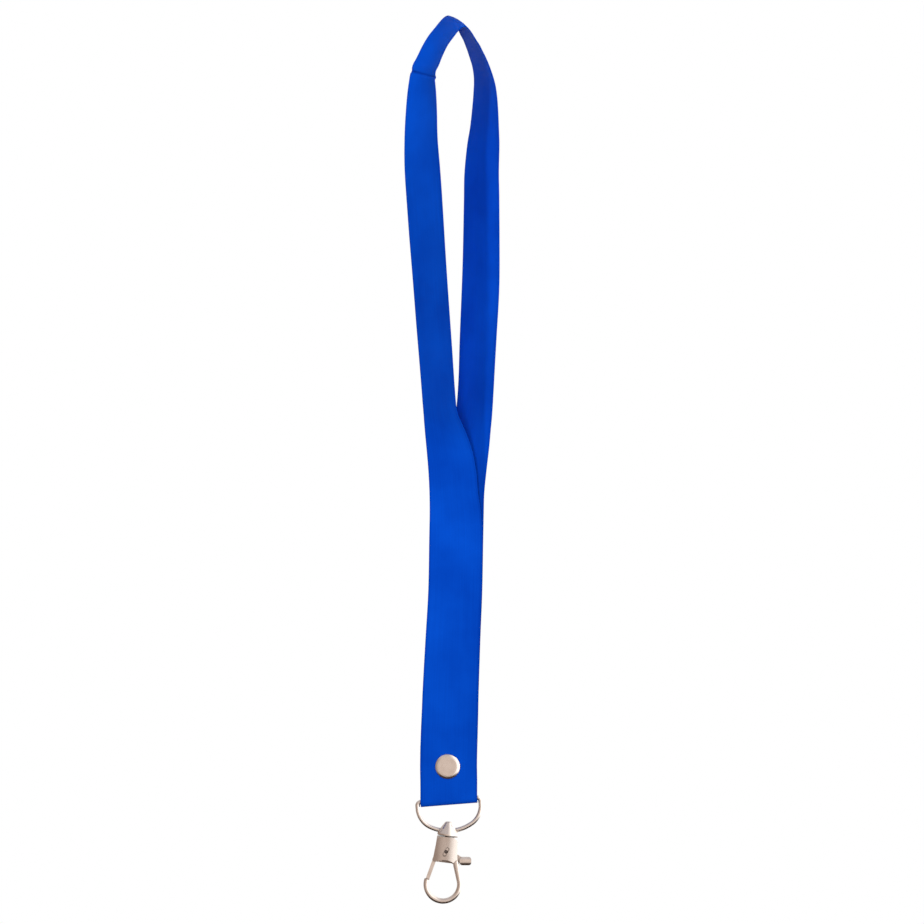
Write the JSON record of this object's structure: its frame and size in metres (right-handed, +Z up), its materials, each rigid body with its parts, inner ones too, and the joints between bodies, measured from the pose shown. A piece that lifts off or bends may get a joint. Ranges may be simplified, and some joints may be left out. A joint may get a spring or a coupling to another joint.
{
  "type": "lanyard badge holder",
  "caption": "Neck lanyard: a folded satin ribbon loop riveted round a D-ring, with a swivelling snap hook that has a sprung gate for a badge.",
  "frame": {"origin": "inside of the ribbon at the top of the neck loop, where the lanyard hangs", "axes": "+Z up along the hanging ribbon, +X to the right, and the front, which shows the larger rivet cap, faces -Y"},
  "size_m": [0.0422, 0.0341, 0.3909],
  "materials": {
    "ribbon": "satin-woven polyester ribbon, royal blue",
    "rivet_metal": "nickel-plated pressed steel",
    "ring_wire": "nickel-plated steel wire",
    "cast_metal": "nickel-plated die casting",
    "pin_metal": "plain steel pin",
    "gate_metal": "nickel-plated stamped steel",
    "spring_wire": "spring steel wire"
  },
  "bodies": {
    "strap": {"strap": "ribbon", "rivet_front_cap": "rivet_metal", "rivet_tube": "rivet_metal", "rivet_rear_cap": "rivet_metal", "rivet_stud": "rivet_metal"},
    "ring": {"d_ring": "ring_wire"},
    "swivel": {"swivel_eye": "cast_metal"},
    "hook": {"hook_body": "cast_metal", "pivot_pin": "pin_metal", "gate_spring": "spring_wire"},
    "gate": {"gate_lever": "gate_metal"}
  },
  "joints": [
    {"name": "ring_swing", "type": "hinge", "parent": "strap", "child": "ring", "pos_m": [-0.0038, 0, -0.3414], "axis": [0.9969, 0, 0.0785], "range_deg": [-80, 80]},
    {"name": "eye_tip", "type": "hinge", "parent": "ring", "child": "swivel", "pos_m": [-0.00415, 0, -0.35501], "axis": [1, 0, 0], "range_deg": [-75, 75]},
    {"name": "swivel_spin", "type": "hinge", "parent": "swivel", "child": "hook", "pos_m": [-0.00415, 0, -0.35501], "axis": [0.0958, 0, 0.9954], "continuous": true},
    {"name": "gate_open", "type": "hinge", "parent": "hook", "child": "gate", "pos_m": [-0.00501, 0, -0.36397], "axis": [0, -1, 0], "range_deg": [0, 28], "stiffness_Nm_per_rad": 0.03, "springref_deg": -34.38}
  ]
}
